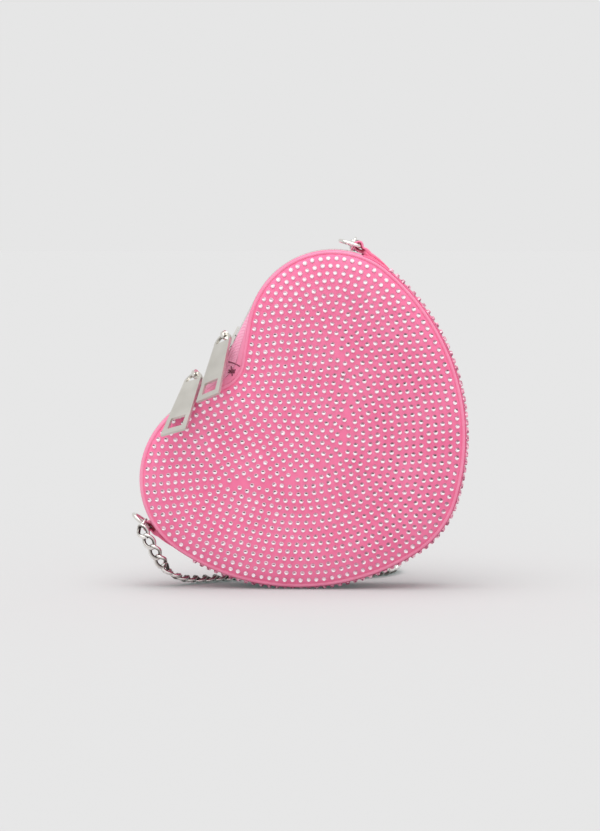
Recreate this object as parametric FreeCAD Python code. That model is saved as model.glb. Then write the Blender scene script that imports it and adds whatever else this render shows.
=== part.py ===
import FreeCAD, Part
import math
import os

V = FreeCAD.Vector

# A heart shaped purse, standing on one side edge. Millimetres and degrees.
# It is drawn in the heart's own plane: x runs from the notch to the tip, z across, y is the depth
# with the front at -y. At the end it is leant over and set on the floor.

# Heart outline, all of it tangent arcs and two straight flanks at the notch
lobe_radius = 43.0
lobe_offset = 45.0
lobe_end = 87.0
side_radius = 109.0
tip_radius = 47.0
notch_dip = 18.0
notch_round = 14.0
lean = 36.87
depth = 32.0
seat_flat = 0.4

# Panels: piping, crowned cover over a foam pad, stiff board, lining
piping_diameter = 2.2
cover_thickness = 0.7
board_thickness = 1.6
lining_thickness = 0.5
seam_clearance = 0.1
crown_steps = ((0.0, 0.0), (0.9, 2.4), (4.7, 4.2), (11.7, 5.6), (21.7, 6.2))

# Lower gusset, whose cover is as thick as its cloth and the stones on it
stone_height = 1.2
gusset_cloth = 0.6
gusset_board_thickness = 1.4
zip_end = 106.0

# Zip strip over the lobes, nearer the front and bridging the notch
zip_forward = 4.0
facing_thickness = 0.9
tape_thickness = 0.7
tape_width = 5.0
tape_edge = 3.0
zip_notch_dip = 7.0
zip_notch_round = 30.0
tooth_pitch = 2.9
tooth_length = 1.25
tooth_thickness = 2.2
tooth_overlap = 0.9
mouth_half = 11.5
mouth_shift = 2.0
stop_length = 2.4
stop_place = 2.4

# Sliders, each with a lug that holds its pull
slider_place = 13.5
slider_nose = 7.0
slider_tail = 7.0
slider_half_width = 4.5
slider_nose_half = 3.0
slider_tail_half = 3.2
slider_plate = 1.0
slider_clearance = 0.25
slider_room = 0.3
flange_width = 0.6
flange_clearance = 0.3
post_diameter = 1.6
post_place = -4.2
lug_rise = 3.9
lug_hole = 2.2
lug_wall = 1.2
lug_width = 1.6
lug_root = 0.5

# Pulls: flat plates with a wire eye, and the way that each one hangs from its lug
pull_length = 41.0
pull_foot_width = 15.8
pull_neck_width = 10.8
pull_neck = 5.5
pull_thickness = 1.3
eye_wire = 1.4
eye_width = 8.0
eye_end = 5.0
window_width = 9.2
window_length = 7.2
window_foot = 3.4
upper_slope = 24.0
upper_forward = 26.5
upper_down = 28.05
upper_rest = 11.8
lower_slope = 17.0
lower_forward = 29.5
lower_down = 28.0
lower_rest = 3.45

# Tabs and rings for the strap
tab_turn = 104.0
tab_back = 4.5
tab_reach = 5.5
tab_width = 8.6
tab_strap = 0.9
bar_clearance = 0.25
ring_wire = 2.0
ring_half_width = 6.0
ring_shoulder = 4.0
ring_corner = 1.6
upper_ring_drop = 20.0
lower_ring_drop = 0.0

# Chain strap, as wide as a link, with a jump ring at each end
chain_width = 5.6
jump_radius = 3.0
jump_wire = 1.4
jump_place = 3.2
jump_slack = 0.1
chain_gap = 0.5
chain_rise = 0.1
chain_behind = 9.0
chain_lead = 7.0
lower_jump_lift = 0.3
upper_jump_lift = 0.3
coil_shift = 12.5
coil_radius = 37.5
coil_step = 6.1
coil_turns_in = 2.25
coil_turns_out = 1.5

# Points of the two free runs of the chain, as shares of the way from the ring to the coil
lower_shares = (
    (0.026, -0.080, 0.123), (0.069, -0.095, 0.289), (0.102, -0.060, 0.477), (0.136, 0.015, 0.664),
    (0.185, 0.129, 0.830), (0.250, 0.289, 0.946), (0.340, 0.493, 0.993), (0.459, 0.692, 1.000),
    (0.618, 0.866, 1.000), (0.813, 0.973, 1.000))
upper_shares = (
    (-0.003, 0.137, -0.004), (-0.003, 0.263, 0.005), (0.001, 0.347, 0.034), (0.008, 0.380, 0.077),
    (0.018, 0.401, 0.138), (0.060, 0.428, 0.203), (0.122, 0.418, 0.337), (0.204, 0.432, 0.483),
    (0.320, 0.442, 0.623), (0.468, 0.465, 0.745), (0.637, 0.526, 0.842), (0.786, 0.605, 0.911),
    (0.893, 0.717, 0.959), (0.967, 0.848, 0.987))


# Outline of the heart
notch_point = lobe_radius - notch_dip
zip_notch_point = lobe_radius - zip_notch_dip


def at(centre, radius, turn, y):
    angle = math.radians(turn)
    return V(centre[0] + radius * math.cos(angle), y, centre[1] + radius * math.sin(angle))


def arc(centre, radius, first, last, y):
    return tuple(at(centre, radius, turn, y) for turn in (first, (first + last) / 2, last))


def flipped(point):
    return V(point.x, point.y, -point.z)


def back_along(segment):
    start, middle, end = segment
    return end, middle, start


def other_half(segments):
    return [tuple(flipped(p) if p else None for p in back_along(s)) for s in reversed(segments)]


lobe_centre = (0.0, lobe_offset)
side_gap = side_radius - lobe_radius
side_centre = (-side_gap * math.cos(math.radians(lobe_end)),
               lobe_offset - side_gap * math.sin(math.radians(lobe_end)))
tip_centre = (side_centre[0] + math.sqrt((side_radius - tip_radius) ** 2 - side_centre[1] ** 2), 0.0)
side_end = math.degrees(math.atan2(-side_centre[1], tip_centre[0] - side_centre[0]))


def flank_turn(point):
    reach = math.hypot(lobe_offset, point)
    turn = math.atan2(lobe_offset, point) - math.acos(lobe_radius / reach)
    return 180.0 + math.degrees(turn)


def notch_centre(point, rounding):
    angle = math.radians(flank_turn(point))
    return ((lobe_radius + rounding + lobe_offset * math.sin(angle)) / math.cos(angle), 0.0)


# From the lower tab over both lobes to the upper tab
def zip_path(inset, y, point=notch_point, rounding=notch_round):
    turn = flank_turn(point)
    centre = notch_centre(point, rounding)
    corner = at(centre, -(rounding + inset), turn, y)
    shoulder = at(lobe_centre, lobe_radius - inset, turn, y)
    half = [(corner, None, shoulder), arc(lobe_centre, lobe_radius - inset, turn, zip_end, y)]
    dip = (flipped(corner), V(centre[0] + rounding + inset, y, 0), corner)
    return other_half(half) + [dip] + half


# From the upper tab round the tip to the lower tab
def gusset_path(inset, y):
    half = [arc(lobe_centre, lobe_radius - inset, zip_end, lobe_end, y),
            arc(side_centre, side_radius - inset, lobe_end, side_end, y)]
    tip = arc(tip_centre, tip_radius - inset, side_end, -side_end, y)
    return half + [tip] + other_half(half)


def wire_of(segments):
    edges = []
    for start, middle, end in segments:
        curve = Part.Arc(start, middle, end) if middle else Part.LineSegment(start, end)
        edges.append(curve.toShape())
    return Part.Wire(edges)


def heart(inset, y):
    return wire_of(zip_path(inset, y) + gusset_path(inset, y))


def strip(outer, inner):
    ends = [(outer[-1][2], None, inner[-1][2])]
    starts = [(inner[0][0], None, outer[0][0])]
    return wire_of(outer + ends + [back_along(s) for s in reversed(inner)] + starts)


def plate(inset, low, high):
    return Part.Face(heart(inset, low)).extrude(V(0, high - low, 0))


def tube(path, diameter):
    first = path.Edges[0]
    start = first.valueAt(first.FirstParameter)
    along = first.tangentAt(first.FirstParameter)
    ring = Part.Wire(Part.makeCircle(diameter / 2, start, along))
    return path.makePipeShell([ring], True, False)


def to_back(shape):
    return shape.mirror(V(0, 0, 0), V(0, 1, 0))


def to_lower(shape):
    return shape.mirror(V(0, 0, 0), V(0, 0, 1))


parts = {}

# The lean, and where the heart's middle comes to stand over the floor
turn_over = FreeCAD.Rotation(V(0, 1, 0), lean)
stand = turn_over.multVec(V(side_centre[0], 0, -side_centre[1]))
stand = V(-stand.x, 0, side_radius + stone_height - seat_flat - stand.z)
standing = FreeCAD.Placement(stand, turn_over)

# Panels
seam = -(depth / 2 - piping_diameter)
panel_inset = piping_diameter + seam_clearance


def crown(shrink):
    rings = []
    for inset, height in crown_steps:
        drop = shrink if height > 0 else 0.0
        rings.append(heart(panel_inset + shrink + inset, seam - height + drop))
    return Part.makeLoft(rings, True, True)


pad = crown(cover_thickness)
board_back = seam + board_thickness
lining_back = board_back + lining_thickness
piping_middle = seam - piping_diameter / 2
back_face = crown_steps[-1][1] - seam
front = {
    "cover": crown(0.0).cut(pad),
    "foam_pad": pad,
    "board": plate(panel_inset, seam, board_back),
    "lining": plate(panel_inset, board_back, lining_back),
    "piping": tube(heart(piping_diameter / 2, piping_middle), piping_diameter),
}
for name, shape in front.items():
    parts["front_" + name] = shape
    parts["back_" + name] = to_back(shape)


# Lower gusset
def gusset_layer(outer, inner, reach):
    face = Part.Face(strip(gusset_path(outer, -reach), gusset_path(inner, -reach)))
    return face.extrude(V(0, 2 * reach, 0))


board_inset = gusset_cloth + gusset_board_thickness
parts["gusset_cover"] = gusset_layer(-stone_height, gusset_cloth, -seam)
parts["gusset_board"] = gusset_layer(gusset_cloth, board_inset, -seam)
parts["gusset_lining"] = gusset_layer(board_inset, board_inset + lining_thickness, -lining_back - seam_clearance)

# Zip strip: the notch grows shallower from the panels' edges to the teeth
zip_y = -zip_forward
front_edge = zip_y - tape_edge
back_edge = zip_y + tape_edge


def zip_ring(outer, inner, y):
    slope_start = zip_y + math.copysign(slider_half_width + slider_room, y - zip_y)
    panel = math.copysign(seam, y - zip_y)
    share = min((panel - y) / (panel - slope_start), 1.0)
    point = notch_point + (zip_notch_point - notch_point) * share
    rounding = notch_round + (zip_notch_round - notch_round) * share
    return strip(zip_path(outer, y, point, rounding), zip_path(inner, y, point, rounding))


def zip_band(outer, thickness, places):
    return Part.makeLoft([zip_ring(outer, outer + thickness, y) for y in places], True, True)


zip_middle = facing_thickness / 2
tape_outer = zip_middle - tape_thickness / 2
zip_line = wire_of(zip_path(zip_middle, zip_y, zip_notch_point, zip_notch_round))
half_zip = zip_line.Length / 2
mouth_reach = mouth_half + tooth_length
mouth_edge = tape_edge + mouth_shift
mouth_corner = V(-2 * lobe_offset, zip_y - mouth_edge, -mouth_reach)
mouth = Part.makeBox(2 * lobe_offset, 2 * mouth_edge, 2 * mouth_reach, mouth_corner)
for name, edge, side in (("front", front_edge, -1), ("back", back_edge, 1)):
    tape_far = edge + side * tape_width
    flat_far = zip_y + side * (slider_half_width + slider_room)
    parts[name + "_zip_facing"] = zip_band(0.0, facing_thickness, (side * -seam, tape_far))
    parts[name + "_zip_tape"] = zip_band(tape_outer, tape_thickness, (tape_far, flat_far, edge)).cut(mouth)


def zip_spot(distance):
    left = distance
    for piece in zip_line.Edges:
        if left <= piece.Length:
            break
        left -= piece.Length
    spot = piece.getParameterByLength(min(left, piece.Length))
    return piece.valueAt(spot), piece.tangentAt(spot)


# Turns a shape drawn with x along the zip and z outwards, and moves it to a point of the zip
def on_zip(shape, distance):
    place, along = zip_spot(distance)
    turned = shape.copy()
    turned.rotate(V(0, 0, 0), V(0, 1, 0), math.degrees(math.atan2(-along.z, along.x)))
    turned.translate(place)
    return turned


def zip_block(length, low, high, thickness):
    return Part.makeBox(length, high - low, thickness, V(-length / 2, low, -thickness / 2))


first_tooth = stop_place + stop_length


def tooth_row(side, first):
    teeth = []
    distance = first
    while distance <= zip_line.Length - first_tooth:
        shift = mouth_shift if abs(distance - half_zip) < mouth_half else 0.0
        ends = sorted((side * (tape_edge + shift), side * (shift - tooth_overlap)))
        teeth.append(on_zip(zip_block(tooth_length, ends[0], ends[1], tooth_thickness), distance))
        distance += tooth_pitch
    return Part.makeCompound(teeth)


parts["front_zip_teeth"] = tooth_row(-1, first_tooth)
parts["back_zip_teeth"] = tooth_row(1, first_tooth + tooth_pitch / 2)
stop = zip_block(stop_length, -tape_edge, tape_edge, tooth_thickness)
stop_spots = (stop_place, zip_line.Length - stop_place)
parts["zip_end_stops"] = Part.makeCompound([on_zip(stop, spot) for spot in stop_spots])

# Sliders, drawn with x away from the notch and z outwards
channel = tooth_thickness / 2 + slider_clearance
slider_top = channel + slider_plate


def slider_body():
    half_plan = [(-slider_nose, slider_nose_half), (-slider_nose / 2, slider_half_width),
                 (slider_tail / 3, slider_half_width), (slider_tail, slider_tail_half)]
    plan = half_plan + [(x, -y) for x, y in reversed(half_plan)]
    outline = Part.makePolygon([V(x, y, channel) for x, y in plan + plan[:1]])
    upper = Part.Face(outline).extrude(V(0, 0, slider_plate))
    lip_low = tape_thickness / 2 + flange_clearance
    lip_start = -slider_tail / 6
    for inner in (-slider_half_width, slider_half_width - flange_width):
        lip = Part.makeBox(slider_tail / 2, flange_width, channel - lip_low, V(lip_start, inner, lip_low))
        upper = upper.fuse(lip)
    post = Part.makeCylinder(post_diameter / 2, 2 * channel, V(post_place, 0, -channel))
    return upper.fuse([upper.mirror(V(0, 0, 0), V(0, 0, 1)), post])


# A ring round the pull's eye wire, on a leg that stands on the slider's outer plate
def lug(wire, out, across):
    lug_round = lug_hole / 2 + lug_wall
    side = across * (lug_width / 2)
    ring = Part.makeCylinder(lug_round, lug_width, wire - side, across)
    hole = Part.makeCylinder(lug_hole / 2, lug_width, wire - side, across)
    down = across * out.dot(across) - out
    down.normalize()
    reach = lug_rise / -down.dot(out) + lug_root
    wide = across.cross(down) * (lug_round * math.sqrt(0.5))
    corners = [wire - side - wide, wire - side + wide, wire - side + wide + down * reach,
               wire - side - wide + down * reach]
    leg = Part.Face(Part.makePolygon(corners + corners[:1])).extrude(side * 2)
    return ring.fuse(leg).cut(hole)


# Pulls, drawn with x towards the foot, y across and z the thickness, the eye's wire at the origin
def pull_plate():
    neck = pull_neck_width / 2
    foot = pull_foot_width / 2
    eye = eye_width / 2
    outline = [(V(pull_length, -foot, 0), None, V(pull_neck, -neck, 0)),
               (V(pull_neck, -neck, 0), V(-eye_wire / 2, 0, 0), V(pull_neck, neck, 0)),
               (V(pull_neck, neck, 0), None, V(pull_length, foot, 0)),
               (V(pull_length, foot, 0), None, V(pull_length, -foot, 0))]
    opening = [(V(eye_end, -eye, 0), V(eye_wire / 2, 0, 0), V(eye_end, eye, 0)),
               (V(eye_end, eye, 0), None, V(eye_end, -eye, 0))]
    window_start = pull_length - window_foot - window_length
    window = Part.makeBox(window_length, window_width, pull_thickness, V(window_start, -window_width / 2, 0))
    thick = V(0, 0, pull_thickness)
    sheet = Part.Face(wire_of(outline)).extrude(thick)
    sheet = sheet.cut(Part.Face(wire_of(opening)).extrude(thick)).cut(window)
    sheet.translate(V(0, 0, -pull_thickness / 2))
    return sheet


# The panels' edge at the notch, at a height across the heart
def notch_edge(level):
    turn = flank_turn(notch_point)
    centre = notch_centre(notch_point, notch_round)
    corner = at(centre, -notch_round, turn, 0)
    shoulder = at(lobe_centre, lobe_radius, turn, 0)
    if level < corner.z:
        return centre[0] + math.sqrt(notch_round ** 2 - level ** 2)
    if level < shoulder.z:
        return corner.x + (shoulder.x - corner.x) * (level - corner.z) / (shoulder.z - corner.z)
    return -math.sqrt(lobe_radius ** 2 - (level - lobe_offset) ** 2)


# The way a pull hangs: its middle crosses the front piping at a rest height over the panel's edge
def hang_over(wire, forward, down, rest):
    share = (wire.y - seam + piping_diameter / 2) / forward
    edge = notch_edge(abs(wire.z - down * share))
    return V((edge - rest - wire.x) / share, -forward, -down)


# The direction across a hanging pull: it rises by its slope as seen from the front
def across_pull(hang, rise):
    reach = turn_over.multVec(hang)
    slope = math.radians(rise)
    depth_share = -(math.cos(slope) * reach.x + math.sin(slope) * reach.z) / reach.y
    across = V(math.cos(slope), depth_share, math.sin(slope))
    across.normalize()
    return turn_over.inverted().multVec(across)


def hung_pull(wire, hang, across):
    reach = V(hang)
    reach.normalize()
    face = reach.cross(across)
    frame = FreeCAD.Matrix(reach.x, across.x, face.x, wire.x, reach.y, across.y, face.y, wire.y,
                           reach.z, across.z, face.z, wire.z, 0, 0, 0, 1)
    return pull_plate().transformed(frame, True)


slider_spot, upper_along = zip_spot(half_zip + slider_place)
upper_out = V(-upper_along.z, 0, upper_along.x)
upper_wire = slider_spot + upper_out * (slider_top + lug_rise)
lower_along = flipped(upper_along)
lower_out = flipped(upper_out)
lower_wire = flipped(upper_wire)
upper_hang = hang_over(upper_wire, upper_forward, upper_down, upper_rest)
lower_hang = hang_over(lower_wire, lower_forward, lower_down, lower_rest)
upper_across = across_pull(upper_hang, upper_slope)
lower_across = across_pull(lower_hang, lower_slope)
upper_body = on_zip(slider_body(), half_zip + slider_place)
parts["upper_slider"] = upper_body.fuse(lug(upper_wire, upper_out, upper_across)).removeSplitter()
parts["lower_slider"] = to_lower(upper_body).fuse(lug(lower_wire, lower_out, lower_across)).removeSplitter()
parts["upper_pull"] = hung_pull(upper_wire, upper_hang, upper_across)
parts["lower_pull"] = hung_pull(lower_wire, lower_hang, lower_across)

# Tabs and rings, drawn at the upper side and mirrored to the lower
bore = ring_wire / 2 + bar_clearance
tab_round = bore + tab_strap
tab_seat = at(lobe_centre, lobe_radius + stone_height, tab_turn, 0)
tab_out = at((0.0, 0.0), 1.0, tab_turn, 0)
tab_along = V(-tab_out.z, 0, tab_out.x)
bar = tab_seat + tab_along * tab_reach + tab_out * tab_round


def tab():
    half = V(0, tab_width / 2, 0)
    start = tab_seat - tab_along * tab_back - half
    toe = tab_seat + tab_along * tab_reach - half
    tip = bar + tab_along * tab_round - half
    raised = tab_out * (2 * tab_round)
    profile = [(start, None, toe), (toe, tip, toe + raised), (toe + raised, None, start + raised),
               (start + raised, None, start)]
    block = Part.Face(wire_of(profile)).extrude(half * 2)
    return block.cut(Part.makeCylinder(bore, tab_width, bar - half, V(0, 1, 0)))


# A point of a ring, out from its bar; the ring drops towards the heart's edge
def ring_spot(out, y, drop):
    lower = math.radians(drop)
    return bar + V(-out * math.cos(lower), y, -out * math.sin(lower))


# A ring with its bar along y, its bow towards the top of the heart
def strap_ring(drop):
    side = ring_half_width
    corner = ring_corner
    knee = corner * (1 - math.sqrt(0.5))

    def spot(out, y):
        return ring_spot(out, y, drop)

    path = [(spot(0, corner - side), None, spot(0, side - corner)),
            (spot(0, side - corner), spot(knee, side - knee), spot(corner, side)),
            (spot(corner, side), None, spot(ring_shoulder, side)),
            (spot(ring_shoulder, side), spot(ring_shoulder + side, 0), spot(ring_shoulder, -side)),
            (spot(ring_shoulder, -side), None, spot(corner, -side)),
            (spot(corner, -side), spot(knee, knee - side), spot(0, corner - side))]
    return tube(wire_of(path), ring_wire)


parts["upper_tab"] = tab()
parts["lower_tab"] = to_lower(parts["upper_tab"])
parts["upper_ring"] = strap_ring(upper_ring_drop)
parts["lower_ring"] = to_lower(strap_ring(lower_ring_drop))

# Lean everything over and flatten the cover where it stands on the floor
for name in parts:
    parts[name] = parts[name].transformed(standing.toMatrix(), True)
floor = Part.makeBox(side_radius, 2 * depth, depth, V(-side_radius / 2, -depth, -depth))
parts["gusset_cover"] = parts["gusset_cover"].cut(floor)


# Jump rings, each round one shoulder of its ring, and lifted off the ring's plane by its share
def jump_ring(shoulder, along, side, lift):
    on_wire = standing.multVec(shoulder)
    axis = turn_over.multVec(along)
    way = V(0, side, 0).cross(axis) * -lift + V(0, side * math.sqrt(1 - lift ** 2), 0)
    centre = on_wire + way * (jump_radius - jump_wire / 2 - ring_wire / 2 - jump_slack)
    ring = Part.makeTorus(jump_radius, jump_wire / 2, centre, axis)
    return ring, centre + way * (jump_radius + jump_wire / 2 + chain_gap)


upper_shoulder = ring_spot(jump_place, ring_half_width, upper_ring_drop)
upper_ring_way = bar - ring_spot(1.0, 0, upper_ring_drop)
lower_shoulder = flipped(ring_spot(jump_place, -ring_half_width, lower_ring_drop))
lower_ring_way = flipped(bar - ring_spot(1.0, 0, lower_ring_drop))
parts["upper_jump_ring"], upper_start = jump_ring(upper_shoulder, upper_ring_way, 1, upper_jump_lift)
parts["lower_jump_ring"], lower_start = jump_ring(lower_shoulder, lower_ring_way, -1, lower_jump_lift)

# The coil of chain behind the purse: it winds in, climbs a layer in half a turn, and winds out
chain_floor = chain_width / 2 + chain_rise
coil_centre = (coil_shift, back_face + chain_behind + coil_radius)


def coil_spot(turns):
    inward = min(turns, coil_turns_in)
    outward = max(turns - coil_turns_in, 0.0)
    risen = min(max((turns - coil_turns_in + 0.25) / 0.5, 0.0), 1.0)
    radius = coil_radius - coil_step * (inward - outward)
    height = chain_floor + coil_step * risen * risen * (3 - 2 * risen)
    angle = 2 * math.pi * (turns - 0.25)
    return V(coil_centre[0] + radius * math.cos(angle), coil_centre[1] + radius * math.sin(angle), height)


def coil_way(turns):
    small = 1e-4
    way = coil_spot(turns + small) - coil_spot(turns - small)
    way.normalize()
    return way


# The arc that leaves start along way and comes to end
def arc_from(start, way, end):
    chord = end - start
    weight = way.dot(chord) / chord.Length
    knee = start + way * (chord.Length / 2 / weight)
    middle = (start + end + knee * (2 * weight)) * (1 / (2 + 2 * weight))
    return start, middle, end


def biarc(start, start_way, end, end_way):
    gap = end - start
    total = gap.dot(start_way + end_way)
    spread = 2 * (1 - start_way.dot(end_way))
    lead = (-total + math.sqrt(total ** 2 + spread * gap.dot(gap))) / spread
    join = (start + end + (start_way - end_way) * lead) * 0.5
    return [arc_from(start, start_way, join), back_along(arc_from(end, end_way * -1, join))]


coil_turns = coil_turns_in + coil_turns_out
quarters = int(round(coil_turns * 4))
ways = [coil_way(k / 4) for k in range(quarters + 1)]
ways[0] = V(1, 0, 0)
ways[-1] = V(0, -1, 0)
coil_in = coil_spot(0) - ways[0] * chain_width
coil_out = coil_spot(coil_turns) + ways[-1] * chain_width
coil_path = [(coil_in, None, coil_spot(0))]
for k in range(quarters):
    coil_path += biarc(coil_spot(k / 4), ways[k], coil_spot((k + 1) / 4), ways[k + 1])
coil_path.append((coil_spot(coil_turns), None, coil_out))


# A free run: straight stretches joined by the largest tangent arcs that its points leave room for
def run_path(points):
    path = []
    radii = []
    here = points[0]
    for before, corner, after in zip(points, points[1:], points[2:]):
        arrive = corner - before
        leave = after - corner
        room = 0.45 * min(arrive.Length, leave.Length)
        radii.append(round(room / math.tan(arrive.getAngle(leave) / 2), 1))
        arrive.normalize()
        leave.normalize()
        path.append((here, None, corner - arrive * room))
        path.append(arc_from(corner - arrive * room, arrive, corner + leave * room))
        here = corner + leave * room
    path.append((here, None, points[-1]))
    return path, radii


def route(start, shares, lead, end):
    span = lead - start
    points = [start + V(span.x * a, span.y * b, span.z * c) for a, b, c in shares]
    return [start] + points + [lead, end]


lower_route = route(lower_start, lower_shares, coil_in - ways[0] * chain_lead, coil_in)
upper_route = route(upper_start, upper_shares, coil_out + ways[-1] * chain_lead, coil_out)
chain_length = 0.0
for name, points in (("chain_lower_run", lower_route), ("chain_upper_run", upper_route)):
    path, radii = run_path(points)
    line = wire_of(path)
    parts[name] = tube(line, chain_width)
    chain_length += line.Length
    share = parts[name].Volume / (math.pi * chain_width ** 2 / 4 * line.Length)
    print(name, "length", round(line.Length, 1), "volume share", round(share, 4), "radii", radii)
    print([tuple(round(c, 1) for c in point) for point in points])
coil_line = wire_of(coil_path)
parts["chain_coil"] = tube(coil_line, chain_width)
chain_length += coil_line.Length
beads = coil_line.discretize(Distance=chain_width / 4)
least = min((beads[i] - beads[j]).Length for i in range(len(beads)) for j in range(i + 16, len(beads)))
print("chain_coil length", round(coil_line.Length, 1), "least gap to itself", round(least - chain_width, 2))
print("whole chain", round(chain_length, 1))

os.makedirs("parts", exist_ok=True)
for name, shape in parts.items():
    shape.exportStep("parts/" + name + ".step")
    volume = sum(solid.Volume for solid in shape.Solids)
    print(name, len(shape.Solids), "solids", shape.isValid(), round(volume, 1))


def world(point):
    return [round(c, 3) for c in standing.multVec(point)]


def turned(way):
    return [round(c, 5) for c in turn_over.multVec(way)]


print("upper wire", world(upper_wire), "along", turned(upper_along), "across", turned(upper_across))
print("lower wire", world(lower_wire), "along", turned(lower_along), "across", turned(lower_across))
print("upper ring bar", world(bar), "lower ring bar", world(flipped(bar)))
print("heart middle", world(V(0, 0, 0)), "back face", round(back_face, 2), "inner half depth", round(-lining_back, 2))
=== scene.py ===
import bpy
import bmesh
import math
import numpy as np
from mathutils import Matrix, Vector


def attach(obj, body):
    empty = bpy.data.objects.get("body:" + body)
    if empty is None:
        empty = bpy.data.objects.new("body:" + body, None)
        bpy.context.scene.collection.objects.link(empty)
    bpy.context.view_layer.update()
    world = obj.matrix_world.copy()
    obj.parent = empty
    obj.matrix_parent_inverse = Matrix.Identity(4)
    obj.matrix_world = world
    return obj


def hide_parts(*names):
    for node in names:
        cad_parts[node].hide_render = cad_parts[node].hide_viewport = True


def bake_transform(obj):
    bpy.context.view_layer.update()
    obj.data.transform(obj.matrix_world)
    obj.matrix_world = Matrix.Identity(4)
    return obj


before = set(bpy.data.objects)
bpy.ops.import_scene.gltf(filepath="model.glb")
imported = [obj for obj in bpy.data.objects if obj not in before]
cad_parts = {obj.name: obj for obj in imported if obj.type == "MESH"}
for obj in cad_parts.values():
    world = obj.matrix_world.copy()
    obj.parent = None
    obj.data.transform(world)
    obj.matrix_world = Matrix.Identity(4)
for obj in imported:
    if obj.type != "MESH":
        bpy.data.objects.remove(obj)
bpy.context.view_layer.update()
scene = bpy.context.scene
scene.view_settings.view_transform = "Standard"
rng = np.random.default_rng(7)
mm = 0.001

# Camera

view = dict(aim=(0.001, -0.016, 0.0874), distance=1.5, azimuth=2.5, elevation=3.3, field=0.4155)


def makeCamera():
    data = bpy.data.cameras.new("photoCamera")
    cam = bpy.data.objects.new("photoCamera", data)
    scene.collection.objects.link(cam)
    a, e = math.radians(view["azimuth"]), math.radians(view["elevation"])
    back = Vector((math.sin(a) * math.cos(e), -math.cos(a) * math.cos(e), math.sin(e)))
    cam.location = Vector(view["aim"]) + back * view["distance"]
    cam.rotation_mode = "QUATERNION"
    cam.rotation_quaternion = (-back).to_track_quat("-Z", "Y")
    data.sensor_fit = "VERTICAL"
    data.angle = 2 * math.atan(view["field"] / 2 / view["distance"])
    scene.camera = cam


makeCamera()
print("camera set")

# Mesh makers


# A new piece on its body, with the nodes that it stands for hidden
def addPiece(name, mesh, slotName, *nodes, body="case"):
    obj = bpy.data.objects.new(name, mesh)
    scene.collection.objects.link(obj)
    if body:
        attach(obj, body)
    if nodes:
        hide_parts(*nodes)
    return obj


# A grid of points, rows by columns, becomes quads; either way round may be closed
def gridFaces(rows, cols, closeRows, closeCols):
    i = np.arange(rows if closeRows else rows - 1)[:, None]
    j = np.arange(cols if closeCols else cols - 1)[None, :]
    i2, j2 = (i + 1) % rows, (j + 1) % cols
    quads = np.stack(np.broadcast_arrays(i * cols + j, i * cols + j2, i2 * cols + j2, i2 * cols + j), -1)
    return quads.reshape(-1, 4)


def meshFrom(name, verts, faces, uv=None, smooth=True, recalc=True):
    mesh = bpy.data.meshes.new(name)
    mesh.from_pydata(np.asarray(verts, float).reshape(-1, 3).tolist(), [], [list(f) for f in faces])
    if uv is not None:
        layer = mesh.uv_layers.new(name="along")
        index = np.empty(len(mesh.loops), np.int32)
        mesh.loops.foreach_get("vertex_index", index)
        layer.data.foreach_set("uv", np.asarray(uv, np.float32).reshape(-1, 2)[index].ravel())
    if recalc:
        work = bmesh.new()
        work.from_mesh(mesh)
        bmesh.ops.recalc_face_normals(work, faces=work.faces)
        work.to_mesh(mesh)
        work.free()
    mesh.polygons.foreach_set("use_smooth", np.full(len(mesh.polygons), smooth))
    mesh.update()
    return mesh


# One tone for each point or corner of the mesh, the same in all three colours
def addTone(mesh, name, domain, tone):
    layer = mesh.color_attributes.new(name, "FLOAT_COLOR", domain)
    colour = np.stack([tone, tone, tone, np.ones_like(tone)], -1)
    layer.data.foreach_set("color", colour.astype(np.float32).ravel())


# Rings of points round a line, each turning from the first way to the second
def tubeRings(line, first, second, radius, sides):
    a = np.linspace(0, 2 * np.pi, sides, endpoint=False)
    ways = first[:, None] * np.cos(a)[None, :, None] + second[:, None] * np.sin(a)[None, :, None]
    return line[:, None] + radius * ways


def ray(degrees):
    return np.array([math.cos(math.radians(degrees)), math.sin(math.radians(degrees))])


def unit(ways):
    return ways / np.linalg.norm(ways, axis=1)[:, None]


def lengthAlong(line):
    return np.concatenate([[0.0], np.cumsum(np.linalg.norm(np.diff(line, axis=0), axis=1))])


def pointsAt(at, s, line):
    return np.stack([np.interp(at, s, line[:, k]) for k in range(line.shape[1])], -1)


# 0 at the start, 1 after the span and straight between them; a span below zero runs the other way
def rise(value, start, span):
    return np.clip((value - start) / span, 0, 1)


def softRise(value, start, span):
    t = rise(value, start, span)
    return t ** 2 * (3 - 2 * t)


# The heart's outline in its own plane, u from notch to tip and v across, in millimetres:
# two lobe arcs, two side arcs, a tip arc, straight flanks and a rounded notch, all tangent

heart = dict(lobeRadius=43.0, lobeOffset=45.0, lobeEnd=87.0, sideRadius=109.0, tipRadius=47.0,
             notchPoint=25.0, notchRound=14.0, zipPoint=36.0, zipRound=30.0, zipEnd=106.0,
             lean=36.87, stone=1.2, seatFlat=0.4, seam=13.8, middle=(22.0, 0.0))
lineSteps = dict(lobe=72, flank=24, notch=24, tabLobe=10, side=90, tip=24)
leanCos, leanSin = ray(heart["lean"])
heartMiddle = np.array(heart["middle"])
lobeC = np.array([0.0, heart["lobeOffset"]])
sideC = lobeC - (heart["sideRadius"] - heart["lobeRadius"]) * ray(heart["lobeEnd"])
tipC = np.array([sideC[0] + math.sqrt((heart["sideRadius"] - heart["tipRadius"]) ** 2 - sideC[1] ** 2), 0.0])
sideEnd = math.degrees(math.atan2(-sideC[1], tipC[0] - sideC[0]))
standX = -(sideC[0] * leanCos - sideC[1] * leanSin)
standZ = heart["sideRadius"] + heart["stone"] - heart["seatFlat"] - (-sideC[0] * leanSin - sideC[1] * leanCos)
flip = np.array([1.0, -1.0])


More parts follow.
